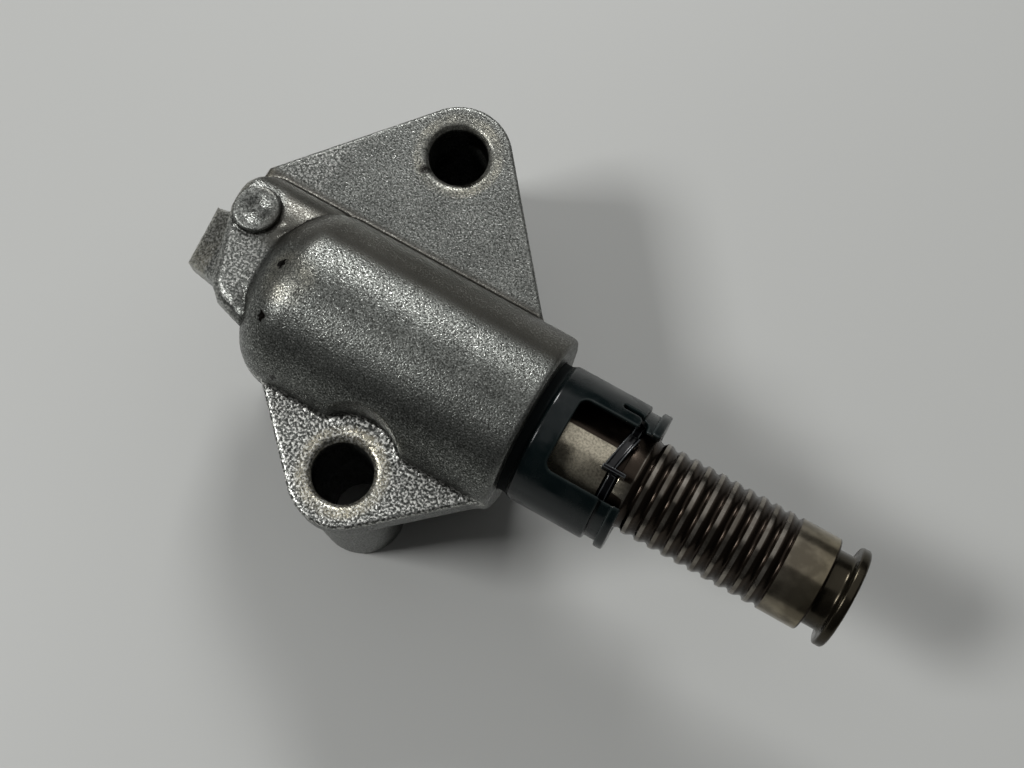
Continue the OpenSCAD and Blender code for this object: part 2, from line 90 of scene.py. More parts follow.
# Settings of a colour mix, and of one that multiplies
MIX = {"out": 2, "data_type": "RGBA"}
TIMES = {**MIX, "blend_type": "MULTIPLY"}


class Body(Enum):
    """The bodies that pieces ride on."""

    HOUSING = "housing"
    PLUNGER = "plunger"


# Distance fields


def ease(value: Array, low: float, high: float) -> Array:
    """Smooth step from 0 at low to 1 at high."""
    t = np.clip((value - low) / (high - low), 0.0, 1.0)
    return t * t * (3 - 2 * t)


def away(x: Array, y: Array, at: Pair) -> Array:
    """Distance from a place seen from above."""
    return np.hypot(x - at[0], y - at[1])


def span(value: Array, low: Amount, high: Amount) -> Array:
    """Distance to the stretch from low to high, below zero within it."""
    return np.abs(value - (low + high) / 2) - (high - low) / 2


def blend_union(a: Array, b: Array, k: Amount) -> Array:
    """Union of two fields with a fillet: the lower value less h squared k / 4 where they are within k.

    Args:
        a: First distance field.
        b: Second distance field.
        k: Reach of the fillet in mm.

    Returns:
        The joined field.
    """
    h = np.maximum(k - np.abs(a - b), 0.0) / k
    return np.minimum(a, b) - h * h * k / 4


def blend_cut(a: Array, tool: Array, k: float) -> Array:
    """Field a with the tool taken out of it and the new edge rounded over a reach of k mm."""
    return -blend_union(-a, tool, k)


def edge_distance(x: Array, y: Array, start: Pair, end: Pair) -> Array:
    """Distance to a straight edge: to the nearest place along it, held between its ends.

    Args:
        x: First coordinates.
        y: Second coordinates.
        start: One end of the edge.
        end: The other end.

    Returns:
        Distance in mm.
    """
    (ax, ay), (bx, by) = start, end
    ex, ey = bx - ax, by - ay
    t = np.clip(((x - ax) * ex + (y - ay) * ey) / (ex * ex + ey * ey), 0.0, 1.0)
    return np.hypot(x - ax - t * ex, y - ay - t * ey)


def polygon_distance(x: Array, y: Array, corners: Sequence[Pair]) -> Array:
    """Signed distance to a polygon: nearest edge, negative where a ray crosses an odd number of edges.

    Args:
        x: First coordinates.
        y: Second coordinates.
        corners: The polygon's corners in order.

    Returns:
        Distance in mm, negative inside.
    """
    best = np.full(x.shape, np.inf)
    inside = np.zeros(x.shape, bool)
    for start, end in zip(corners, [*corners[1:], corners[0]]):
        best = np.minimum(best, edge_distance(x, y, start, end))
        (ax, ay), (bx, by) = start, end
        if ay != by:
            inside ^= ((ay > y) != (by > y)) & (x < (bx - ax) * (y - ay) / (by - ay) + ax)
    return np.where(inside, -best, best)


def path_distance(x: Array, y: Array, path: Sequence[Pair]) -> Array:
    """Distance from points to an open line through the path's corners."""
    return np.min([edge_distance(x, y, start, end) for start, end in zip(path, path[1:])], axis=0)


def round_slab(flat: Array, across: Array, low: float, high: float, r: Amount) -> Array:
    """A flat field given thickness between two levels, with its outer edges rounded.

    Args:
        flat: Distance in the plane of the slab.
        across: Coordinate through the slab.
        low: Lower level.
        high: Upper level.
        r: Edge radius in mm, one value or one for each point.

    Returns:
        Distance to the slab.
    """
    a = flat + r
    b = span(across, low, high) + r
    return np.minimum(np.maximum(a, b), 0.0) + np.hypot(np.maximum(a, 0.0), np.maximum(b, 0.0)) - r


def round_bar(u: Array, rho: Array, ends: Pair, radius: float, edges: Pair) -> Array:
    """Distance to a round bar along u whose two ends have their own edge radius."""
    r = np.where(u < sum(ends) / 2, *edges)
    return round_slab(rho - radius, u, *ends, r)


def tangent_point(centre: Array, r: float, p: Array, side: int) -> Pair:
    """Point where a line from p touches a circle: the way to p, turned by the arc cosine of r / distance.

    Args:
        centre: Middle of the circle.
        r: Its radius.
        p: The point that the line comes from.
        side: 1 or -1, for the side that it touches.

    Returns:
        The point.
    """
    d = p - centre
    turn = math.atan2(d[1], d[0]) + side * math.acos(r / float(np.hypot(*d)))
    return centre[0] + r * math.cos(turn), centre[1] + r * math.sin(turn)


# Meshes


def gradient(field: Field, points: Array, eps: float) -> Array:
    """Central differences of a field: the change over twice eps, along each axis."""
    shifts = eps * np.eye(3)
    return np.stack([(field(points + s) - field(points - s)) / (2 * eps) for s in shifts], 1)


def bend(field: Field, points: Array, eps: float) -> Array:
    """Second differences of a field over eps mm: above zero on outer edges, below zero in fillets."""
    around = sum(field(points + s) + field(points - s) for s in eps * np.eye(3))
    return (around - 6.0 * field(points)) / eps


def surface_net(field: Field, low: Array, high: Array, step: float) -> tuple[Array, Array]:
    """Turns a field into quads: a point in each cell that the surface crosses, a quad for each crossed edge.

    Args:
        field: Signed distance, negative inside.
        low: Lowest corner of the box searched.
        high: Highest corner.
        step: Cell size in mm.

    Returns:
        Points and quads.
    """
    axes = [np.arange(low[i] - 2 * step, high[i] + 3 * step, step) for i in range(3)]
    shape = tuple(len(a) for a in axes)
    values = np.empty(shape, np.float64)
    yy, zz = np.meshgrid(axes[1], axes[2], indexing="ij")
    for i, x in enumerate(axes[0]):
        layer = np.stack([np.full(yy.size, x), yy.ravel(), zz.ravel()], 1)
        values[i] = field(layer).reshape(yy.shape)
    inside = values < 0.0
    nx, ny, nz = cells = tuple(n - 1 for n in shape)
    corners = [(i, j, k) for i in (0, 1) for j in (0, 1) for k in (0, 1)]
    count = sum(inside[i : i + nx, j : j + ny, k : k + nz].astype(np.int8) for i, j, k in corners)
    mixed = (count > 0) & (count < len(corners))
    number = np.full(cells, -1, np.int64)
    number[mixed] = np.arange(int(mixed.sum()))
    at = np.argwhere(mixed)
    value = {c: values[at[:, 0] + c[0], at[:, 1] + c[1], at[:, 2] + c[2]] for c in corners}
    total = np.zeros((len(at), 3))
    hits = np.zeros(len(at))
    for a in corners:
        for axis in range(3):
            if a[axis]:
                continue
            b = tuple(1 if i == axis else a[i] for i in range(3))
            cross = (value[a] < 0) != (value[b] < 0)
            t = np.where(cross, value[a] / np.where(cross, value[a] - value[b], 1.0), 0.0)
            place = np.tile(np.array(a, float), (len(at), 1))
            place[:, axis] = t
            total += place * cross[:, None]
            hits += cross
    origin = np.array([a[0] for a in axes])
    points = origin + step * (at + total / hits[:, None])
    quads = []
    for axis in range(3):
        b, c = (axis + 1) % 3, (axis + 2) % 3
        first = np.take(inside, range(shape[axis] - 1), axis)
        second = np.take(inside, range(1, shape[axis]), axis)
        edge = np.argwhere(first != second)
        keep = (edge[:, b] > 0) & (edge[:, c] > 0) & (edge[:, b] < shape[b] - 1) & (edge[:, c] < shape[c] - 1)
        edge = edge[keep]
        goes_in = first[edge[:, 0], edge[:, 1], edge[:, 2]]
        ring = []
        for db, dc in ((0, 0), (-1, 0), (-1, -1), (0, -1)):
            cell = edge.copy()
            cell[:, b] += db
            cell[:, c] += dc
            ring.append(number[cell[:, 0], cell[:, 1], cell[:, 2]])
        ring = np.stack(ring, 1)
        quads.append(np.where(goes_in[:, None], ring, ring[:, ::-1]))
    return points, np.concatenate(quads)


def ring_quads(rows: int, sides: int) -> Array:
    """Quads between neighbouring rows of points that each run round a ring."""
    here, there = (np.roll(np.arange(rows * sides).reshape(rows, sides), -s, 1) for s in (0, 1))
    return np.stack([here[:-1], there[:-1], there[1:], here[1:]], -1).reshape(-1, 4)


def mesh_object(name: str, points: Array, quads: Array, smooth: bool = True) -> Object:
    """Puts points in mm and quads into a new mesh object at the origin.

    Args:
        name: Name of the piece.
        points: Points in mm.
        quads: Four point numbers a face.
        smooth: Whether the faces are shaded smooth.

    Returns:
        The object, linked to the scene.
    """
    mesh = bpy.data.meshes.new(name)
    mesh.vertices.add(len(points))
    mesh.vertices.foreach_set("co", (points * MM).astype(np.float32).ravel())
    mesh.loops.add(quads.size)
    mesh.loops.foreach_set("vertex_index", quads.astype(np.int32).ravel())
    mesh.polygons.add(len(quads))
    mesh.polygons.foreach_set("loop_start", np.arange(0, quads.size, 4, dtype=np.int32))
    mesh.polygons.foreach_set("use_smooth", np.full(len(quads), smooth))
    mesh.update(calc_edges=True)
    mesh.validate()
    piece = bpy.data.objects.new(name, mesh)
    bpy.context.scene.collection.objects.link(piece)
    return piece


def places(piece: Object) -> Array:
    """Reads the places of a piece's points.

    Args:
        piece: The piece.

    Returns:
        One row of three values in mm for each point.
    """
    flat = np.empty(len(piece.data.vertices) * 3, np.float32)
    piece.data.vertices.foreach_get("co", flat)
    return flat.reshape(-1, 3).astype(np.float64) / MM


def point_value(piece: Object, name: str, values: Array) -> None:
    """Stores one number for each point of a piece, for its material to read."""
    attribute = piece.data.attributes.new(name, "FLOAT", "POINT")
    attribute.data.foreach_set("value", values.astype(np.float32))


def field_object(name: str, field: Field, node: str, step: float, reach: float) -> Object:
    """Mesh of a field: a surface net drawn onto the field, with the field's own normals and edge values.

    Args:
        name: Name of the piece.
        field: Signed distance in mm.
        node: Node whose box is searched.
        step: Cell size in mm.
        reach: Distance over which an edge is felt, for the attribute "edge".

    Returns:
        The piece.
    """
    low, high = (np.array(c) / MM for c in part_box(node))
    points, quads = surface_net(field, low, high, step)
    for _ in range(DRAWS):
        slope = gradient(field, points, step / 6)
        length = np.maximum((slope * slope).sum(1), 0.2)
        points = points - np.clip(field(points) / length, -step, step)[:, None] * slope
    piece = mesh_object(name, points, quads)
    normals = gradient(field, points, step / 4)
    normals /= np.maximum(np.linalg.norm(normals, axis=1), 1e-9)[:, None]
    piece.data.normals_split_custom_set_from_vertices(normals)
    point_value(piece, "edge", np.clip(bend(field, points, reach), -1.0, 1.0))
    return piece


def turned_object(name: str, profile: Array, datum: Datum, sides: int) -> Object:
    """A profile of [along, radius] points carried round the plunger axis, poles closed to a point.

    Args:
        name: Name of the piece.
        profile: Profile points from pole to pole, in mm from the nose face.
        datum: Where the nose face and the plunger axis are.
        sides: Steps round the axis.

    Returns:
        The piece.
    """
    turn = np.linspace(0.0, 2 * np.pi, sides, endpoint=False)
    along, radius = profile[:, 0], profile[:, 1]
    x = np.repeat(along[:, None] + datum.nose, sides, 1)
    y = radius[:, None] * np.sin(turn)[None]
    z = radius[:, None] * np.cos(turn)[None] + datum.axis
    points = np.stack([x, y, z], -1).reshape(-1, 3)
    piece = mesh_object(name, points, ring_quads(len(profile), sides))
    tidy(piece)
    piece.data.set_sharp_from_angle(angle=math.radians(SHARP_DEG))
    return piece


def tidy(piece: Object) -> None:
    """Merges doubled points, such as those at a pole, and turns the faces outwards.

    Args:
        piece: The piece to change.
    """
    work = bmesh.new()
    work.from_mesh(piece.data)
    bmesh.ops.remove_doubles(work, verts=work.verts, dist=MERGE_M)
    bmesh.ops.recalc_face_normals(work, faces=work.faces)
    work.to_mesh(piece.data)
    work.free()


def corner_arc(u: float, r: float, radius: float, start: float, end: float, steps: int) -> Array:
    """Points on a circle in the [along, radius] plane between two angles in degrees."""
    a = np.radians(np.linspace(start, end, steps))
    return np.stack([u + radius * np.cos(a), r + radius * np.sin(a)], 1)


# Finishes


def srgb(code: str) -> Colour:
    """Linear colour of an sRGB hex value."""
    parts = (int(code[i : i + 2], 16) / 255 for i in (1, 3, 5))
    return *(c / 12.92 if c <= 0.04045 else ((c + 0.055) / 1.055) ** 2.4 for c in parts), 1.0


def grey(v: float) -> Colour:
    """A neutral value as a colour."""
    return v, v, v, 1.0


def per_mm(size: float) -> float:
    """Texture scale whose features are about size mm across, for Object coordinates in metres."""
    return 1.0 / (size * MM)


def add(
    tree: NodeTree,
    kind: str,
    inputs: dict | None = None,
    out: int | str = 0,
    stops: Stops = (),
    **settings: str | bool,
) -> NodeSocket | None:
    """Adds one node with its settings and links.

    Args:
        tree: Node tree.
        kind: Blender's name of the shader node.
        inputs: Input names or numbers, each with the socket that feeds it or its value.
        out: Name or number of the output that is handed back.
        stops: Place and grey value of each stop, for a ramp.
        **settings: The node's properties.

    Returns:
        The output, or None for a node that has none.
    """
    node = tree.nodes.new("ShaderNode" + kind)
    for key, value in settings.items():
        setattr(node, key, value)
    for key, value in (inputs or {}).items():
        if isinstance(value, NodeSocket):
            tree.links.new(value, node.inputs[key])
        else:
            node.inputs[key].default_value = value
    for number, (place, value) in enumerate(stops):
        node.color_ramp.elements[number].position = place
        node.color_ramp.elements[number].color = grey(value)
    return node.outputs[out] if node.outputs else None


def scaled(tree: NodeTree, value: NodeSocket | Colour, mask: NodeSocket, stops: Stops) -> NodeSocket:
    """A value or colour times a mask that has been run through a ramp."""
    factor = add(tree, "ValToRGB", {"Fac": mask}, stops=stops)
    return add(tree, "Mix", {0: 1.0, 6: value, 7: factor}, **TIMES)


def coat(
    tree: NodeTree, tone: NodeSocket | Colour, code: str, mask: NodeSocket, stops: Stops = ()
) -> NodeSocket:
    """Lays a colour over a tone where a mask lets it show.

    Args:
        tree: Node tree.
        tone: Colour or socket below.
        code: sRGB hex value of the coat.
        mask: Socket that says how far the coat hides the tone.
        stops: Ramp that the mask is run through first.

    Returns:
        The new tone.
    """
    if stops:
        mask = add(tree, "ValToRGB", {"Fac": mask}, stops=stops)
    return add(tree, "Mix", {0: mask, 6: tone, 7: srgb(code)}, **MIX)


def new_material(name: str) -> tuple[Material, NodeTree, bpy.types.NodeInputs]:
    """An empty material.

    Args:
        name: Its name.

    Returns:
        The material, its node tree and its shader's inputs.
    """
    material = bpy.data.materials.new(name)
    material.use_nodes = True
    tree = material.node_tree
    tree.nodes.clear()
    surface = add(tree, "BsdfPrincipled")
    add(tree, "OutputMaterial", {"Surface": surface})
    return material, tree, surface.node.inputs


@dataclass(frozen=True)
class CastAluminium:
    """Die-cast aluminium: grey skin with bright grains and painted glints, rubbed edges, painted shade in
    corners, in the holes and on the smooth flanks, and oily places.
    """

    skin: str = "#70726e"
    dark: str = "#353633"
    bright: str = "#b0b2ad"
    # Darker brown laid as painted shade on the smooth flanks
    smear_shade: str = "#524f48"
    # Oil, also laid as painted shade in the hollow corners and inside the holes
    oil: str = "#120f0c"
    # Rubbed metal, also laid as painted light on the lug and a painted highlight on the crest
    bare_and_highlight: str = "#cdc6b0"
    # Painted glints on the level faces
    painted_glint: str = "#f2f2ec"
    # Matched to the photograph; the real grain may be finer than its pixels show
    grain_mm: float = 0.19
    crystal_mm: float = 0.3
    blotch_mm: float = 5.0
    grain_depth_mm: float = 0.09
    roughness: float = 0.34
    spread: float = 0.12
    wet_roughness: float = 0.22
    metallic: float = 0.8

    def build(self) -> Material:
        """Makes the material: coats of colour from the skin up, then its gloss and its grain.

        Returns:
            The material.
        """
        material, tree, shader = new_material("cast_aluminium")
        place = add(tree, "TexCoord", out="Object")
        grain, blotch, crystal = (
            add(tree, "TexNoise", {"Vector": place, "Scale": per_mm(size), "Detail": detail})
            for size, detail in ((self.grain_mm, 2.0), (self.blotch_mm, 5.0), (self.crystal_mm, 2.0))
        )
        edge, smear, oil, bare_and_highlight, coarse = (
            add(tree, "Attribute", out="Fac", attribute_name=name)
            for name in ("edge", "smear", "oil", "bare_and_highlight", "coarse")
        )
        # Gives the eye a dull grey skin with fine dark and bright grains
        tone = coat(tree, srgb(self.dark), self.skin, grain, ((0.36, 0.0), (0.54, 1.0)))
        tone = coat(tree, tone, self.bright, grain, ((0.58, 0.0), (0.68, 1.0)))
        # Painted glints and painted shade in the pits on the level faces
        tone = coat(tree, tone, self.painted_glint, scaled(tree, coarse, crystal, ((0.49, 0.0), (0.59, 1.0))))
        tone = coat(tree, tone, self.dark, scaled(tree, coarse, crystal, ((0.34, 0.8), (0.45, 0.0))))
        # Painted shade, a darker brown, where the flanks are smoothed, and faint blotches everywhere
        tone = coat(tree, tone, self.smear_shade, smear, ((0.0, 0.0), (1.0, 0.75)))
        tone = scaled(tree, tone, blotch, ((0.35, 0.78), (0.62, 1.0)))
        # Metal rubbed round the holes, with painted light on the lug and a painted highlight on the
        # shoulder's crest, then rubbed along the edges
        ring = scaled(tree, bare_and_highlight, blotch, ((0.42, 0.3), (0.58, 1.0)))
        tone = coat(tree, tone, self.bare_and_highlight, scaled(tree, ring, grain, ((0.4, 0.1), (0.6, 1.0))))
        rubbed = scaled(tree, blotch, edge, ((0.12, 0.0), (0.6, 0.32)))
        tone = coat(tree, tone, self.bright, scaled(tree, rubbed, smear, ((0.0, 1.0), (0.7, 0.15))))
        # Painted shade in the hollow corners, and ragged films of oil that also carry the painted shade
        # inside the holes
        corner = add(tree, "Math", {0: edge, 1: -1.0}, operation="MULTIPLY")
        tone = coat(tree, tone, self.oil, corner, ((0.1, 0.0), (0.6, 0.55)))
        ragged = add(tree, "Math", {0: blotch, 1: 1.6, 2: -0.8}, operation="MULTIPLY_ADD")
        wet_and_shaded = add(tree, "Math", {0: ragged, 1: oil}, operation="ADD", use_clamp=True)
        wet_and_shaded = add(tree, "ValToRGB", {"Fac": wet_and_shaded}, stops=((0.4, 0.0), (0.7, 1.0)))
        tree.links.new(coat(tree, tone, self.oil, wet_and_shaded), shader["Base Color"])
        stops = ((0.35, self.roughness + self.spread), (0.7, self.roughness - self.spread))
        rough = add(tree, "ValToRGB", {"Fac": grain}, stops=stops)
        rough = add(tree, "Mix", {0: wet_and_shaded, 6: rough, 7: grey(self.wet_roughness)}, **MIX)
        tree.links.new(rough, shader["Roughness"])
        # Sparkle from the grain's own relief, flatter on the smooth flanks
        flat = add(tree, "ValToRGB", {"Fac": grain}, stops=((0.0, 0.35), (1.0, 0.65)))
        depth = add(tree, "Mix", {0: smear, 6: grain, 7: flat}, **MIX)
        share = add(tree, "ValToRGB", {"Fac": coarse}, stops=((0.0, 0.0), (1.0, 0.7)))
        depth = add(tree, "Mix", {0: share, 6: depth, 7: crystal}, **MIX)
        depth = scaled(tree, depth, coarse, ((0.0, 0.55), (1.0, 1.0)))
        relief = {"Strength": 1.0, "Distance": self.grain_depth_mm * MM, "Height": depth}
        tree.links.new(add(tree, "Bump", relief), shader["Normal"])
        shader["Metallic"].default_value = self.metallic
        return material


@dataclass(frozen=True)
class BlackenedSteel:
    """Blackened, oiled steel: near black with a cold tint, satin with a thin gloss and rubbed edges."""

    name: str = "blackened_steel"
    tint: str = "#0a1213"
    rubbed: str = "#262d2c"
    roughness: float = 0.22
    gloss: float = 0.32
    smear_mm: float = 3.0
    shade_roughness: float = 0.9

    def build(self) -> Material:
        """Makes the material: a cold black, lighter edges, and gloss that comes and goes.

        Returns:
            The material.
        """
        material, tree, shader = new_material(self.name)
        place = add(tree, "TexCoord", out="Object")
        noise = {"Vector": place, "Scale": per_mm(self.smear_mm), "Detail": 5.0}
        smear = add(tree, "TexNoise", noise)
        edge, shade = (
            add(tree, "Attribute", out="Fac", attribute_name=name) for name in ("edge", "shade")
        )
        # Gives the eye a black with light only along worn edges
        tone = coat(tree, srgb(self.tint), self.rubbed, edge, ((0.25, 0.0), (0.8, 0.45)))
        tree.links.new(tone, shader["Base Color"])
        stops = ((0.35, self.roughness - 0.1), (0.65, self.roughness + 0.12))
        rough = add(tree, "ValToRGB", {"Fac": smear}, stops=stops)
        rough = add(tree, "Mix", {0: shade, 6: rough, 7: grey(self.shade_roughness)}, **MIX)
        tree.links.new(rough, shader["Roughness"])
        shader["Specular IOR Level"].default_value = self.gloss
        return material


@dataclass(frozen=True)
class VarnishedSteel:
    """Ground steel with baked-on oil: light lands, brown-black slopes and grooves, a tan plain end."""

    clean: str = "#dbd2bc"
    land: str = "#958f86"
    varnish: str = "#6f6960"
    slope: str = "#3c342d"
    groove: str = "#2d2620"
    baked: str = "#958b75"
    baked_dark: str = "#6f6756"
    steel: str = "#3e392f"
    roughness: float = 0.22
    baked_roughness: float = 0.2
    mottle_mm: float = 2.2
    grit_mm: float = 0.25
    metallic: float = 0.9

    def build(self) -> Material:
        """Makes the material: mottled lands, then each length's own look, then dark grooves.

        Returns:
            The material.
        """
        material, tree, shader = new_material("varnished_steel")
        place = add(tree, "TexCoord", out="Object")
        mottle, grit = (
            add(tree, "TexNoise", {"Vector": place, "Scale": per_mm(size), "Detail": detail})
            for size, detail in ((self.mottle_mm, 6.0), (self.grit_mm, 2.0))
        )
        deep_and_shaded, clean, baked, steel = (
            add(tree, "Attribute", out="Fac", attribute_name=name)
            for name in ("depth", "clean", "baked", "steel")
        )
        # Gives the eye thin light lands between dark slopes
        patch = add(tree, "ValToRGB", {"Fac": mottle}, stops=((0.38, 0.0), (0.62, 1.0)))
        tone = coat(tree, srgb(self.varnish), self.land, patch)
        # The length in the window is rubbed clean and pale, with a fine grit
        rubbed = scaled(tree, srgb(self.clean), grit, ((0.35, 0.6), (0.6, 1.0)))
        tone = add(tree, "Mix", {0: clean, 6: tone, 7: rubbed}, **MIX)
        # The plain end has a tan crust of oil, and the neck and tip are dark steel
        crust = coat(tree, srgb(self.baked_dark), self.baked, patch)
        tone = add(tree, "Mix", {0: baked, 6: tone, 7: crust}, **MIX)
        tone = coat(tree, tone, self.steel, steel)
        # Slopes and grooves darken with depth, which also carries the painted shade beside the ring and in
        # the window
        tone = coat(tree, tone, self.slope, deep_and_shaded, ((0.003, 0.0), (0.025, 1.0)))
        tone = coat(tree, tone, self.groove, deep_and_shaded, ((0.4, 0.0), (0.8, 1.0)))
        tree.links.new(tone, shader["Base Color"])
        stops = ((0.3, self.roughness - 0.08), (0.7, self.roughness + 0.12))
        rough = add(tree, "ValToRGB", {"Fac": mottle}, stops=stops)
        rough = add(tree, "Mix", {0: baked, 6: rough, 7: grey(self.baked_roughness)}, **MIX)
        tree.links.new(rough, shader["Roughness"])
        shader["Metallic"].default_value = self.metallic
        return material


@dataclass(frozen=True)
class PlainFinish:
    """Finish of an inner piece: a base colour with a fine noise in colour and roughness."""

    name: str
    colour: str
    metallic: float
    roughness: float
    grain_mm: float = 0.3

    def build(self) -> Material:
        """Makes the material, which gives the eye an even colour with a faint grain.

        Returns:
            The material.
        """
        material, tree, shader = new_material(self.name)
        place = add(tree, "TexCoord", out="Object")
        grain = {"Vector": place, "Scale": per_mm(self.grain_mm), "Detail": 3.0}
        noise = add(tree, "TexNoise", grain)
        tone = scaled(tree, srgb(self.colour), noise, ((0.3, 0.8), (0.7, 1.0)))
        tree.links.new(tone, shader["Base Color"])
        stops = ((0.3, self.roughness), (0.7, min(1.0, self.roughness + 0.1)))
        rough = add(tree, "ValToRGB", {"Fac": noise}, stops=stops)
        tree.links.new(rough, shader["Roughness"])
        shader["Metallic"].default_value = self.metallic
        return material


def dress(piece: Object, material: Material) -> None:
    """Gives a piece one material."""
    piece.data.materials.clear()
    piece.data.materials.append(material)


# Sub-assemblies


@dataclass(frozen=True)
class Datum:
    """Where the plunger axis and the nose face are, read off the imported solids."""

    nose: float
    axis: float
    sleeve_end: float
    reach: float

    @classmethod
    def from_frame(cls) -> Datum:
        """Reads the places from the boxes of the housing, sleeve and plunger.

        Returns:
            The places in mm.
        """
        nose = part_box("housing")[1].x / MM
        low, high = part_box("plunger")
        return cls(
            nose=nose,
            axis=(low.z + high.z) / 2 / MM,
            sleeve_end=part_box("retainer_sleeve")[1].x / MM - nose,
            reach=high.x / MM - nose,
        )


@dataclass
class Housing:
    """The die-cast housing: barrel, eared flange, bosses, foot, platform with its pad, lug and bores."""

    datum: Datum
    step: float = 0.34
    edge_reach: float = 0.5
    barrel_r: float = 10.9
    barrel_l: float = 28.5
    shoulder_r: float = 6.0
    nose_edge: float = 0.6
    flange_h: float = 25.8
    flange_t: float = 4.5
    flange_edge: float = 0.4
    flange_fillet: float = 0.7
    flange_back: Pair = (-9.6, 11.4)
    ear_r: float = 6.3
    upper_hole: Pair = (8.75, 23.5)
    lower_hole: Pair = (16.4, -15.3)
    hole_r: float = 3.5
    chamfer: float = 0.5
    chamfer_reach: float = 0.7
    hole_edge: float = 0.25
    boss_r: float = 5.4
    boss_top_r: float = 5.8
    boss_edge: float = 0.6
    spot_r: float = 6.6
    spot_draft: float = 0.05
    cut_edge: float = 0.3
    # Platform and lug, with the slanted underside that they share
    back_low: float = 14.8
    under_y: float = 1.0
    under_rise: float = 1.69
    under_scale: float = 0.51
    under_edge: float = 0.6
    platform_h: float = 30.6
    platform_edge: float = 1.2
    platform_draft: float = 0.1
    platform_inset: float = 0.02
    platform_blend: float = 3.2
    crest_fillet: float = 1.3
    flank_fillet: float = 0.1
    platform_plan: tuple[Pair, ...] = (
        *((-8.2, 12.5), (-9.0, 10.6), (-9.45, 9.2), (-9.65, 7.4), (-9.5, 4.4)),
        *((-6.6, -4.2), (-5.4, -5.5), (-1.8, -7.0), (3.0, -6.0), (3.0, 12.5)),
    )
    lug_plan: tuple[Pair, ...] = ((-12.4, 4.4), (-11.7, -3.1), (-7.4, -4.0), (-3.3, -5.6), (-3.0, 4.6))
    lug_h: float = 26.0
    lug_rise: float = 0.5
    lug_back: float = -12.0
    lug_reach: float = 32.0
    lug_edge: float = 0.8
    lug_fillet: float = 1.0
    pad_at: Pair = (-6.4, 5.0)
    pad_r: float = 2.7
    pad_h: float = 0.9
    pad_edge: float = 0.3
    pad_fillet: float = 0.25
    dish_depth: float = 0.45
    dish_r: Pair = (0.4, 2.1)
    dish_edge: float = 0.15
    foot_core: tuple[Pair, ...] = ((-2.0, -3.0), (26.0, -3.0), (26.0, 3.0), (-2.0, 3.0))
    foot_r: float = 3.0
    foot_h: float = 19.0
    foot_edge: float = 0.3
    foot_fillet: float = 1.5
    bore_r: float = 5.65
    bore_x: float = 2.5
    tail_r: float = 8.0
    tail_l: float = 4.0
    inlet_r: float = 2.0
    passage_r: float = 1.5
    passage_l: float = 4.0
    passage_edge: float = 0.2
    # Places and sizes of dark specks, and the place of the painted highlight on the shoulder's crest
    specks: tuple[tuple[float, float, float, float], ...] = (
        (0.4, 0.1, 34.4, 0.75),
        (1.3, -5.7, 33.2, 0.6),
        (4.6, -10.2, 28.1, 0.55),
    )
    crest_at: Place = (2.0, -0.9, 34.2)
    stain_off: Pair = (-2.4, -3.4)

    def flange_plan(self, x: Array, y: Array) -> Array:
        """Distance to the flange seen from above: two round ears with straight sides to the barrel.

        Args:
            x: Coordinates along the plunger.
            y: Coordinates across it.

        Returns:
            Signed distance in mm.
        """
        nose, r = self.datum.nose, self.barrel_r
        ends = (
            (self.upper_hole, self.flange_back, (nose - 5.0, r + 0.3), -1),
            (self.lower_hole, (nose - self.barrel_l - 0.1, -r - 0.3), (nose - 1.1, 0.1 - r), 1),
        )
        best = np.full(x.shape, np.inf)
        for hole, back, front, side in ends:
            centre = np.array(hole)
            a = tangent_point(centre, self.ear_r, np.array(back), side)
            b = tangent_point(centre, self.ear_r, np.array(front), -side)
            corners = [hole, a, back, (back[0], 0.0), (front[0], 0.0), front, b]
            best = np.minimum(best, away(x, y, hole) - self.ear_r)
            best = np.minimum(best, polygon_distance(x, y, corners))
        return best

    def back_end(self, points: Array, body: Array) -> Array:
        """Joins the platform and the lug to the barrel, both cut off by a slanted underside.

        Args:
            points: Points in mm.
            body: The barrel's field.

        Returns:
            The joined field.
        """
        x, y, z = points.T
        axis = self.datum.axis
        under = self.under_scale * (z - self.back_low - self.under_rise * (self.under_y - y))
        plan = polygon_distance(x, y, self.platform_plan) - self.platform_draft * (self.platform_h - z)
        platform = round_slab(plan, z, self.back_low, self.platform_h, self.platform_edge)
        inside = self.barrel_r - self.platform_inset - np.hypot(y, z - axis)
        platform = blend_cut(platform, inside, self.platform_blend)
        platform = blend_cut(platform, under, self.under_edge)
        lean = np.abs(np.degrees(np.arctan2(y, z - axis)))
        fillet = self.crest_fillet - (self.crest_fillet - self.flank_fillet) * ease(lean, 22.0, 45.0)
        body = blend_union(body, platform, fillet)
        top = self.lug_h + self.lug_rise * (np.maximum(x, self.lug_back) - self.lug_back)
        plan = polygon_distance(x, y, self.lug_plan)
        lug = round_slab(plan, z, self.back_low, self.lug_reach, self.lug_edge)
        lug = blend_cut(lug, SLOPE_SCALE * (top - z), self.lug_fillet)
        return blend_union(body, blend_cut(lug, under, self.under_edge), self.lug_fillet)

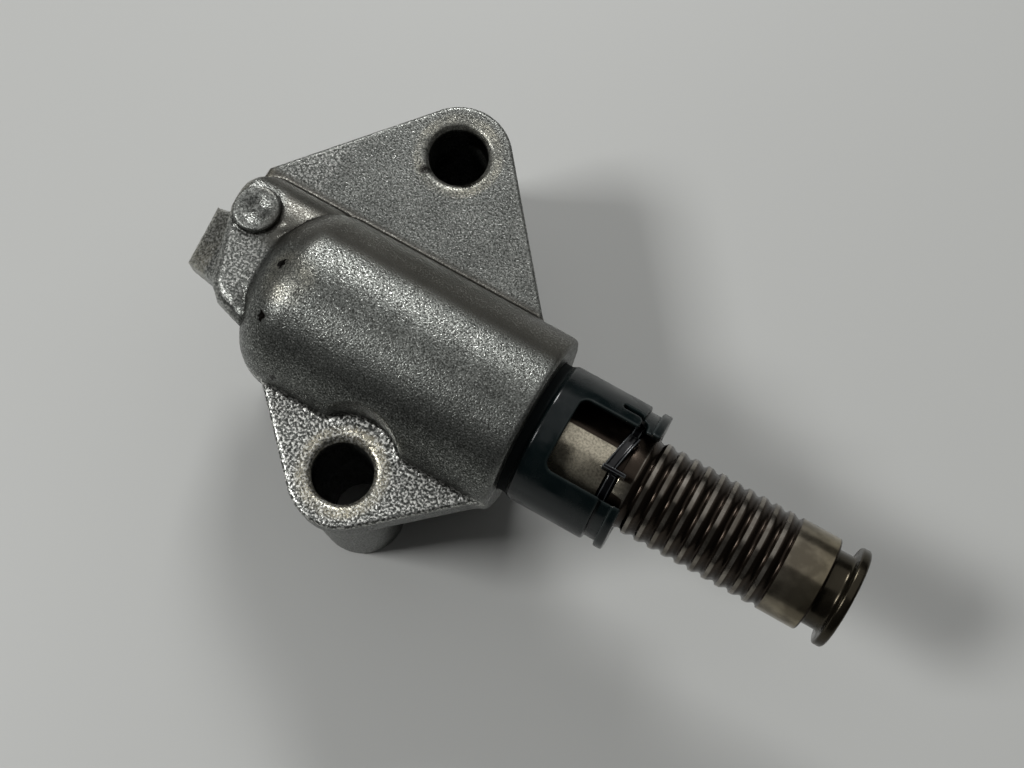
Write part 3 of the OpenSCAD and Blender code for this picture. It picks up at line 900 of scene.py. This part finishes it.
    def field(self, points: Array) -> Array:
        """Signed distance of the whole casting: forms joined with fillets, then bores taken out.

        Args:
            points: Points in mm.

        Returns:
            Distance in mm, negative inside.
        """
        x, y, z = points.T
        top = self.flange_h
        u, rho = x - self.datum.nose, np.hypot(y, z - self.datum.axis)
        ends = (-self.barrel_l - self.shoulder_r, 0.0)
        body = round_bar(u, rho, ends, self.barrel_r, (self.shoulder_r, self.nose_edge))
        body = self.back_end(points, body)
        spot = away(x, y, self.lower_hole) - self.spot_r - self.spot_draft * (z - top)
        body = blend_cut(body, np.maximum(spot, top - z), self.cut_edge)
        flange = round_slab(self.flange_plan(x, y), z, top - self.flange_t, top, self.flange_edge)
        body = blend_union(body, flange, self.flange_fillet)
        for hole in (self.upper_hole, self.lower_hole):
            wide = self.boss_r + (self.boss_top_r - self.boss_r) * z / top
            boss = round_slab(away(x, y, hole) - wide, z, 0.0, top - 1.0, self.boss_edge)
            body = blend_union(body, boss, self.boss_edge)
        foot = polygon_distance(x, y, self.foot_core) - self.foot_r
        body = blend_union(body, round_slab(foot, z, 0.0, self.foot_h, self.foot_edge), self.foot_fillet)
        pad, pad_top = away(x, y, self.pad_at), self.platform_h + self.pad_h
        disc = round_slab(pad - self.pad_r, z, self.platform_h - 1.0, pad_top, self.pad_edge)
        dish = pad_top - self.dish_depth * (1.0 - ease(pad, *self.dish_r))
        disc = blend_cut(disc, SLOPE_SCALE * (dish - z), self.dish_edge)
        body = blend_union(body, disc, self.pad_fillet)
        for hole in (self.upper_hole, self.lower_hole):
            ring = away(x, y, hole) - self.hole_r
            cone = CHAMFER_SCALE * (ring - z + top - self.chamfer)
            cone = np.maximum(cone, ring - self.chamfer_reach)
            body = blend_cut(body, np.minimum(ring, cone), self.hole_edge)
        body = blend_cut(body, np.maximum(rho - self.bore_r, self.bore_x - x), self.cut_edge)
        body = blend_cut(body, np.maximum(rho - self.tail_r, -self.tail_l - u), self.cut_edge)
        inlet = np.maximum(np.hypot(x, y) - self.inlet_r, z - self.datum.axis)
        body = blend_cut(body, inlet, self.cut_edge)
        passage = np.maximum(rho - self.passage_r, np.maximum(-x, x - self.passage_l))
        return blend_cut(body, passage, self.passage_edge)

    def mark(self, piece: Object) -> None:
        """Stores where the skin is smooth with painted shade, oily with painted shade in the holes, coarse
        with painted glints, or rubbed to the metal with painted light.

        Args:
            piece: The casting.
        """
        x, y, z = places(piece).T
        h = self.flange_h
        top = ease(z, h - 1.0, h - 0.5)
        pad = away(x, y, self.pad_at)
        oil, bare_and_highlight = np.zeros(len(x)), np.zeros(len(x))
        # Painted shade on the walls inside the holes, oil round their rims, and metal rubbed by the bolt
        # heads
        for hole, shine in ((self.upper_hole, 0.4), (self.lower_hole, 1.0)):
            d = away(x, y, hole)
            oil = np.maximum(oil, (1.0 - ease(d, 3.4, 3.6)) * (1.0 - ease(z, h - 1.2, h - 0.5)))
            oil = np.maximum(oil, 0.42 * (1.0 - ease(d, 3.9, 4.8)))
            bare_and_highlight = np.maximum(bare_and_highlight, shine * top * (1.0 - ease(d, 4.9, 5.5)))
        # Painted light on the lug and a painted highlight on the shoulder's crest, both in the rubbed metal
        # colour
        bare_and_highlight = np.maximum(bare_and_highlight, 0.4 * (1.0 - ease(x, -9.2, -8.6)) * ease(z, 22.0, 24.0))
        crest = np.linalg.norm(np.stack([x, y, z], 1) - self.crest_at, axis=1)
        bare_and_highlight = np.maximum(bare_and_highlight, 0.45 * (1.0 - ease(crest, 1.5, 4.0)))
        # A stain beside the upper hole, and ragged specks
        stain_at = (self.upper_hole[0] + self.stain_off[0], self.upper_hole[1] + self.stain_off[1])
        oil = np.maximum(oil, 0.8 * (1.0 - ease(away(x, y, stain_at), 0.3, 1.6)) * top)
        ragged = 1.0 + 0.55 * np.sin(9.0 * x + 4.0 * z) * np.sin(7.0 * y - 5.0 * x)
        for *speck, size in self.specks:
            d = ragged * np.linalg.norm(np.stack([x, y, z], 1) - speck, axis=1)
            oil = np.maximum(oil, 1.15 * (1.0 - ease(d, 0.3 * size, size)))
        # The upper flank, the shoulder and the slope beside the pad have a smoother skin and painted shade
        rho = np.hypot(y, z - self.datum.axis)
        lean = np.degrees(np.arctan2(y, z - self.datum.axis))
        flank = ease(lean, 24.0, 36.0) * (1.0 - ease(np.abs(rho - self.barrel_r), 0.3, 1.2))
        shoulder = ease(x, -5.5, -3.0) * (1.0 - ease(x, 1.0, 4.0)) * ease(lean, 5.0, 30.0)
        aside = 0.868 * (x - self.pad_at[0]) + 0.497 * (y - self.pad_at[1])
        slope = ease(aside, 2.4, 3.6) * ease(y, 2.0, 4.0) * (1.0 - ease(x, 0.0, 2.0))
        smear = np.maximum(shoulder, slope) * ease(z, h + 0.3, h + 1.0)
        smear = np.maximum(flank, 0.9 * smear)
        # The flange's level faces are coarse, with painted glints and pits, the lower ear most, and the back
        # end a little
        level = top * (1.0 - ease(z, h + 0.2, h + 0.7))
        coarse = level * (0.14 + 0.86 * (1.0 - ease(y, -9.0, -7.0)))
        back = (1.0 - ease(x, -3.2, -2.2)) * ease(z, 20.0, 22.0)
        back *= 0.4 + 0.6 * ease(pad, self.pad_r, self.pad_r + 0.3)
        coarse = np.maximum(coarse, 0.4 * back * (1.0 - smear))
        for name, values in (("smear", smear), ("oil", oil), ("bare_and_highlight", bare_and_highlight), ("coarse", coarse)):
            point_value(piece, name, values)

    def build(self, material: Material) -> Object:
        """Makes the casting and dresses it.

        Args:
            material: Its finish.

        Returns:
            The piece.
        """
        piece = field_object("housing_casting", self.field, "housing", self.step, self.edge_reach)
        self.mark(piece)
        dress(piece, material)
        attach(piece, Body.HOUSING.value)
        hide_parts("housing")
        return piece


@dataclass
class RetainerSleeve:
    """The blackened sleeve: pressed tail, neck, wide body with a window and bent slot, groove and end lip."""

    datum: Datum
    step: float = 0.15
    edge_reach: float = 0.25
    outer_r: float = 8.35
    outer_edges: Pair = (0.7, 0.22)
    neck_r: float = 8.0
    neck_l: float = 0.95
    neck_end: float = 2.0
    neck_edges: Pair = (0.2, 0.2)
    tail_l: float = 4.0
    bush_r: float = 5.65
    wide_r: float = 7.0
    step_x: float = 3.2
    lip_w: float = 1.1
    lip_r: float = 6.3
    lip_step: float = 0.5
    groove_w: float = 1.4
    groove_depth: float = 0.55
    round_r: float = 0.3
    fine_r: float = 0.2
    window_x: float = 3.95
    window_w: float = 8.7
    window_corner: float = 1.0
    window_turn: float = 2.75
    # The slot's start, its bend and its end along the sleeve, and the angle of its long leg
    slot_w: float = 0.85
    slot_start: Pair = (11.15, 3.6)
    slot_bend_x: float = 10.05
    slot_bend_r: float = 1.1
    slot_end_x: float = 8.5
    slot_angle: float = 43.5
    slot_floor: float = 6.0

    def field(self, points: Array) -> Array:
        """Signed distance of the sleeve: turned outside, bores, groove, window and slot taken out.

        Args:
            points: Points in mm.

        Returns:
            Distance in mm, negative inside.
        """
        x, y, z = points.T
        u, h = x - self.datum.nose, z - self.datum.axis
        rho = np.hypot(y, h)
        end = self.datum.sleeve_end
        lip = end - self.lip_w
        body = round_bar(u, rho, (self.neck_l, end), self.outer_r, self.outer_edges)
        neck = round_bar(u, rho, (-self.tail_l, self.neck_end), self.neck_r, self.neck_edges)
        body = blend_union(body, neck, self.round_r)
        groove = np.maximum(span(u, lip - self.groove_w, lip), self.outer_r - self.groove_depth - rho)
        body = blend_cut(body, groove, self.round_r)
        body = blend_cut(body, rho - self.bush_r, self.round_r)
        wide = np.maximum(rho - self.wide_r, np.maximum(self.step_x - u, u - lip))
        body = blend_cut(body, wide, self.fine_r)
        body = blend_cut(body, np.maximum(rho - self.lip_r, lip - self.lip_step - u), self.round_r)
        turn = math.radians(self.window_turn)
        across = np.abs(y * math.cos(turn) + h * math.sin(turn)) - self.window_w / 2
        above = h * math.cos(turn) - y * math.sin(turn)
        window = round_slab(across, u, self.window_x, end + 20.0, self.window_corner)
        body = blend_cut(body, np.maximum(window, -above), self.round_r)
        leg = self.outer_r * math.radians(self.slot_angle)
        bend_r = self.slot_bend_r
        elbow = corner_arc(self.slot_bend_x, leg - bend_r, bend_r, 0.0, 90.0, 6)
        path = [self.slot_start, *map(tuple, elbow), (self.slot_end_x, leg)]
        line = path_distance(u, np.arctan2(y, h) * self.outer_r, path) - self.slot_w / 2
        return blend_cut(body, np.maximum(line, self.slot_floor - rho), self.fine_r)

    def build(self, material: Material) -> Object:
        """Makes the sleeve and dresses it.

        Args:
            material: Its finish.

        Returns:
            The piece.
        """
        piece = field_object("sleeve_blackened", self.field, "retainer_sleeve", self.step, self.edge_reach)
        point_value(piece, "shade", 1.0 - ease(places(piece)[:, 0] - self.datum.nose, 0.8, 1.2))
        dress(piece, material)
        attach(piece, Body.HOUSING.value)
        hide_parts("retainer_sleeve")
        return piece


@dataclass
class RatchetRing:
    """The snap ring: an open band in the groove, a strip across the window and a bent-up ear at its end."""

    datum: Datum
    step: float = 0.08
    edge_reach: float = 0.12
    edge: float = 0.12
    middle: float = 10.7
    width: float = 0.9
    inner_r: float = 5.22
    outer_r: float = 5.97
    # Angles by which the band's gap passes the ear and the strip's start, and of the join
    gap_past: Pair = (2.0, 8.0)
    gap_edge: float = 0.1
    join_back: float = 4.0
    join_half: float = 0.4
    strip_r: float = 6.09
    strip_t: float = 0.4
    strip_w: float = 1.3
    strip_start: float = 32.0
    strip_offset: float = 0.8
    strip_skew: float = 0.95
    rim_h: float = 0.12
    rim_w: float = 0.3
    ear_angle: float = -15.0
    ear_h: float = 0.9
    ear_l: float = 2.8

    def field(self, points: Array) -> Array:
        """Signed distance of the ring: band with a gap, skewed strip with raised edges, and ear.

        Args:
            points: Points in mm.

        Returns:
            Distance in mm, negative inside.
        """
        x, y, z = points.T
        u, h = x - self.datum.nose, z - self.datum.axis
        rho, angle = np.hypot(y, h), np.degrees(np.arctan2(y, h))
        arc = np.radians(angle) * rho
        mid = (self.inner_r + self.outer_r) / 2
        strip_mid = self.strip_r + self.strip_t / 2
        sides = (self.middle - self.width / 2, self.middle + self.width / 2)
        band = round_slab(span(rho, self.inner_r, self.outer_r), u, *sides, self.edge)
        gap_low = math.radians(self.ear_angle - self.gap_past[0]) * mid
        gap_high = math.radians(self.strip_start - self.gap_past[1]) * mid
        band = blend_cut(band, span(arc, gap_low, gap_high), self.gap_edge)
        share = (angle - self.ear_angle) / (self.strip_start - self.ear_angle)
        centre = self.middle - self.strip_offset + self.strip_skew * np.clip(share, 0.0, 1.0)
        rise = self.rim_h * np.clip((np.abs(u - centre) - self.rim_w) / self.rim_w, 0.0, 1.0)
        thick = span(rho - rise, self.strip_r, self.strip_r + self.strip_t)
        strip = round_slab(thick, u - centre, -self.strip_w / 2, self.strip_w / 2, self.edge)
        low, high = (math.radians(a) * strip_mid for a in (self.ear_angle, self.strip_start))
        strip = blend_cut(strip, -span(arc, low, high), self.gap_edge)
        join = round_slab(span(rho, self.inner_r, strip_mid), u, *sides, self.edge)
        turn = math.radians(self.strip_start - self.join_back) * mid
        join = np.maximum(join, np.abs(arc - turn) - self.join_half)
        ear_mid = math.radians(self.ear_angle) * self.strip_r + self.strip_t / 2
        start = self.middle - self.strip_offset - self.strip_w / 2
        top = self.strip_r + self.strip_t + self.ear_h
        ear = np.maximum(np.abs(arc - ear_mid) - self.strip_t / 2, span(rho, self.strip_r, top))
        ear = round_slab(ear, u, start, start + self.ear_l, self.edge)
        return blend_union(blend_union(band, join, 0.3), blend_union(strip, ear, 0.35), 0.2)

    def build(self, material: Material) -> Object:
        """Makes the ring and dresses it.

        Args:
            material: Its finish.

        Returns:
            The piece.
        """
        piece = field_object("snap_ring", self.field, "ratchet_ring", self.step, self.edge_reach)
        point_value(piece, "shade", np.zeros(len(piece.data.vertices)))
        dress(piece, material)
        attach(piece, Body.HOUSING.value)
        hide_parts("ratchet_ring")
        return piece


@dataclass
class Plunger:
    """The steel plunger: a cup with a ring groove, ratchet grooves, plain end, neck and tip flange."""

    datum: Datum
    sides: int = 160
    radius: float = 5.6
    length: float = 47.3
    rear_edge: float = 0.4
    bore_r: float = 4.0
    bore_edge: float = 0.2
    end_t: float = 4.8
    ring_x: float = 10.7
    ring_groove_w: float = 1.38
    ring_groove_depth: float = 0.5
    ring_groove_edge: float = 0.08
    land_w: float = 1.6
    pitch: float = 1.68
    grooves: int = 11
    groove_steps: int = 17
    ridge_w: float = 0.4
    depth: float = 0.35
    lean: float = 1.8
    neck_r: float = 4.55
    neck_l: float = 2.25
    neck_edge: float = 0.25
    tip_r: float = 5.95
    tip_t: float = 1.2
    tip_edge: float = 0.4
    tip_back_edge: float = 0.3
    tip_fillet: float = 0.5
    # The middle and half width of the light patch left out of the painted shade beside the ring, in degrees
    patch_at: float = -25.0
    patch_half: Pair = (8.0, 15.0)

    def stations(self) -> tuple[float, float, float]:
        """Works out the places along the plunger that others are measured from.

        Returns:
            Where the first groove starts, where the last one ends, and where the neck starts.
        """
        first = self.ring_x + self.ring_groove_w / 2 + self.land_w
        last = first + self.grooves * self.pitch - self.ridge_w
        neck = self.datum.reach - self.tip_t - self.neck_l
        return first, last, neck

    def profile(self) -> Array:
        """Half profile from the tip's middle, along the outside, to the bottom of the spring bore.

        A groove dips below the ridges by its depth times the sine of pi times t to the power of
        its lean, with t from 0 at the housing's side to 1 at the tip's.

        Returns:
            Points along the plunger and out from its axis.
        """
        r, reach = self.radius, self.datum.reach
        first, _, neck_back = self.stations()
        rear, tip_back = reach - self.length, reach - self.tip_t
        edge, back, fillet = self.tip_edge, self.tip_back_edge, self.tip_fillet
        neck, groove = self.neck_edge, self.ring_groove_edge
        rows = [
            np.array([[reach, 0.0], [reach, 2.0], [reach, self.tip_r - 0.45]]),
            corner_arc(reach - edge, self.tip_r - edge, edge, 0.0, 90.0, 6),
            corner_arc(tip_back + back, self.tip_r - back, back, 90.0, 180.0, 6),
            corner_arc(tip_back - fillet, self.neck_r + fillet, fillet, 0.0, -90.0, 6),
            corner_arc(neck_back + neck, self.neck_r + neck, neck, -90.0, -180.0, 5),
            corner_arc(neck_back - neck, r - neck, neck, 0.0, 90.0, 6),
        ]
        t = np.linspace(1.0, 0.0, self.groove_steps)
        dip = r - self.depth * np.sin(np.pi * t**self.lean)
        for i in reversed(range(self.grooves)):
            rows.append(np.stack([first + i * self.pitch + (self.pitch - self.ridge_w) * t, dip], 1))
        high, low = self.ring_x + self.ring_groove_w / 2, self.ring_x - self.ring_groove_w / 2
        floor = r - self.ring_groove_depth
        edge, bore = self.rear_edge, self.bore_edge
        rows += [
            corner_arc(high + groove, r - groove, groove, 90.0, 180.0, 4),
            np.array([[high, floor], [low, floor]]),
            corner_arc(low - groove, r - groove, groove, 0.0, 90.0, 4),
            corner_arc(rear + edge, r - edge, edge, 90.0, 180.0, 5),
            corner_arc(rear + bore, self.bore_r + bore, bore, 180.0, 270.0, 4),
            np.array([[reach - self.end_t, self.bore_r], [reach - self.end_t, 0.0]]),
        ]
        return np.concatenate(rows)

    def mark(self, piece: Object) -> None:
        """Stores how far each point lies below the ridges, with painted shade beside the ring and in the
        window, and where the steel is baked or clean.

        Args:
            piece: The plunger.
        """
        x, y, z = places(piece).T
        u, h = x - self.datum.nose, z - self.datum.axis
        first, last, neck_back = self.stations()
        neck = ease(u, neck_back - 0.05, neck_back)
        deep_and_shaded = np.clip((self.radius - np.hypot(y, h)) / self.depth, 0.0, 1.0)
        # Painted shade beside the ring and on the top side in the window, where the ring and the sleeve shade
        # the plunger; it counts as depth
        lean = np.degrees(np.arctan2(y, h))
        wet_and_shaded = ease(u, self.ring_x + 0.2, self.ring_x + 0.7) * (1.0 - ease(u, first - 0.3, first - 0.1))
        wet_and_shaded *= 0.35 * ease(np.abs(lean - self.patch_at), *self.patch_half)
        upper = ease(lean, 13.0, 21.0) * (1.0 - ease(u, self.ring_x - 0.4, self.ring_x + 0.2))
        deep_and_shaded = np.maximum(deep_and_shaded, np.maximum(wet_and_shaded, upper))
        point_value(piece, "baked", ease(u, last - 0.05, last + 0.05) * (1.0 - neck))
        point_value(piece, "depth", deep_and_shaded * (1.0 - neck))
        point_value(piece, "steel", neck)
        point_value(piece, "clean", 1.0 - ease(u, self.ring_x + 1.0, self.ring_x + 2.0))

    def build(self, material: Material) -> Object:
        """Makes the plunger and dresses it.

        Args:
            material: Its finish.

        Returns:
            The piece.
        """
        piece = turned_object("plunger_turned", self.profile(), self.datum, self.sides)
        self.mark(piece)
        dress(piece, material)
        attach(piece, Body.PLUNGER.value)
        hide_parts("plunger")
        return piece


@dataclass
class CoilSpring:
    """A round wire carried along a helix with closed end turns."""

    name: str
    node: str
    joint: str
    turns: int
    wire: float
    keep: float
    fixed_low: bool
    steps: int = 32
    sides: int = 12
    closed_pitch: float = 1.1

    def build(self, datum: Datum, material: Material) -> Object:
        """Makes the spring inside its solid's box.

        Args:
            datum: Where the plunger axis is.
            material: Its finish.

        Returns:
            The piece.
        """
        low, high = (np.array(c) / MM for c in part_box(self.node))
        mean, half, sides = (high[1] - low[1] - self.wire) / 2, self.wire / 2, self.sides
        t = np.linspace(0.0, self.turns, self.turns * self.steps + 1)
        closed = self.closed_pitch * self.wire
        open_pitch = (high[0] - low[0] - self.wire - 2 * closed) / (self.turns - 2)
        climb = closed * (np.minimum(t, 1) + np.maximum(t - self.turns + 1, 0))
        climb = climb + open_pitch * np.maximum(np.minimum(t, self.turns - 1) - 1, 0)
        a = 2 * np.pi * t[:, None]
        b = np.linspace(0.0, 2 * np.pi, sides, endpoint=False)[None]
        r = mean + half * np.cos(b)
        x = low[0] + half + climb[:, None] + half * np.sin(b)
        points = np.stack([x, -r * np.sin(a), datum.axis + r * np.cos(a)], -1).reshape(-1, 3)
        caps = [
            [s + j, s + j + 1, s + sides - 2 - j, s + sides - 1 - j]
            for s in (0, (len(t) - 1) * sides)
            for j in range(sides // 2 - 1)
        ]
        piece = mesh_object(self.name, points, np.concatenate([ring_quads(len(t), sides), np.array(caps)]))
        tidy(piece)
        dress(piece, material)
        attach(piece, Body.HOUSING.value)
        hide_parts(self.node)
        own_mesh(piece)
        return piece


# Stage


@dataclass(frozen=True)
class Photographer:
    """Camera place and turn, in mm and radians, and the lens and sensor in mm."""

    place: Place = (48.893, -34.196, 193.636)
    yaw: float = 0.5201
    tilt: float = 0.2485
    roll: float = -0.002
    lens: float = 54.31
    sensor: float = 36.0
    clip_m: float = 0.01

    def build(self) -> None:
        """Makes the camera and gives it to the scene."""
        cos, sin = math.cos, math.sin
        up = Vector((0.0, cos(self.tilt), sin(self.tilt)))
        right = Vector((cos(self.roll), 0.0, 0.0)) + up * sin(self.roll)
        up = Vector((-sin(self.roll), 0.0, 0.0)) + up * cos(self.roll)
        turn = Matrix.Rotation(self.yaw, 3, "Z")
        right, up = turn @ right, turn @ up
        basis = Matrix((right, up, right.cross(up))).transposed().to_4x4()
        data = bpy.data.cameras.new("camera")
        data.sensor_width = self.sensor
        data.lens = self.lens
        data.clip_start = self.clip_m
        camera = bpy.data.objects.new("camera", data)
        camera.matrix_world = Matrix.Translation(Vector(self.place) * MM) @ basis
        bpy.context.scene.collection.objects.link(camera)
        bpy.context.scene.camera = camera


@dataclass(frozen=True)
class Studio:
    """A pale table, two small lamps, a broad dim one that the metals mirror, and a dim room."""

    table: str = "#c0c1be"
    table_roughness: float = 0.5
    table_half_m: float = 3.0
    table_drop_mm: float = 0.02
    room: float = 0.015
    # Name, place and aim in metres, width in metres and power in watts of each lamp
    lamps: tuple[tuple[str, Place, Place, float, float], ...] = (
        ("window", (-0.3, 0.62, 0.58), (0.02, 0.0, 0.02), 0.22, 3.5),
        ("ceiling", (-0.5, -0.3, 0.75), (0.02, 0.0, 0.02), 0.24, 4.6),
        ("wall", (0.1, 0.62, 1.08), (0.03, 0.0, 0.02), 1.8, 4.4),
    )

    def build(self) -> None:
        """Makes the table, lamps and world."""
        half, drop = self.table_half_m / MM, -self.table_drop_mm
        plan = ((-half, -half), (half, -half), (half, half), (-half, half))
        corners = np.array([(*corner, drop) for corner in plan])
        floor = mesh_object("table", corners, np.array([[0, 1, 2, 3]]), smooth=False)
        # Gives the eye a plain pale sheet with soft shadows
        material, _, shader = new_material("pale_table")
        shader["Base Color"].default_value = srgb(self.table)
        shader["Roughness"].default_value = self.table_roughness
        dress(floor, material)
        for name, place, aim, size, watts in self.lamps:
            data = bpy.data.lights.new(name, "AREA")
            data.shape = "SQUARE"
            data.size = size
            data.energy = watts
            lamp = bpy.data.objects.new(name, data)
            lamp.location = place
            lamp.rotation_euler = (Vector(aim) - Vector(place)).to_track_quat("-Z", "Y").to_euler()
            bpy.context.scene.collection.objects.link(lamp)
        world = bpy.data.worlds.new("room")
        world.use_nodes = True
        background = world.node_tree.nodes["Background"]
        background.inputs["Color"].default_value = grey(1.0)
        background.inputs["Strength"].default_value = self.room
        bpy.context.scene.world = world
        bpy.context.scene.view_settings.view_transform = "Standard"


def main() -> None:
    """Builds every piece in order."""
    logging.basicConfig(level=logging.INFO, format="%(message)s")
    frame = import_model()
    Photographer().build()
    Studio().build()
    datum = Datum.from_frame()
    wire = PlainFinish("drawn_spring_wire", "#8d8d88", 1.0, 0.3).build()
    ring_finish = BlackenedSteel("black_spring_steel", "#08080a", "#5d6062", 0.2, 0.6)
    # Name, node, joint, turns, wire in mm, share of length kept, whether the low end stays
    springs = (
        ("plunger_spring_wire", "plunger_spring", "plunger_slide", 17, 1.0, 0.7, True),
        ("ball_spring_wire", "check_ball_spring", "check_ball_lift", 3, 0.2, 0.64, False),
    )
    pieces = [
        Housing(datum).build(CastAluminium().build()),
        RetainerSleeve(datum).build(BlackenedSteel().build()),
        RatchetRing(datum).build(ring_finish.build()),
        Plunger(datum).build(VarnishedSteel().build()),
        *(CoilSpring(*spring).build(datum, wire) for spring in springs),
    ]
    inner = {
        "plunger_filler": PlainFinish("moulded_filler", "#26262a", 0.0, 0.5),
        "valve_seat": PlainFinish("turned_seat", "#a3a39e", 1.0, 0.3),
        "check_ball": PlainFinish("polished_ball", "#d4d4d0", 1.0, 0.08),
        "valve_cage": PlainFinish("pressed_cage", "#aaa598", 1.0, 0.35),
    }
    for node, finish in inner.items():
        dress(frame["nodes"][node], finish.build())
    for piece in pieces:
        LOG.info("%s: %d faces", piece.name, len(piece.data.polygons))


if __name__ == "__main__":
    main()
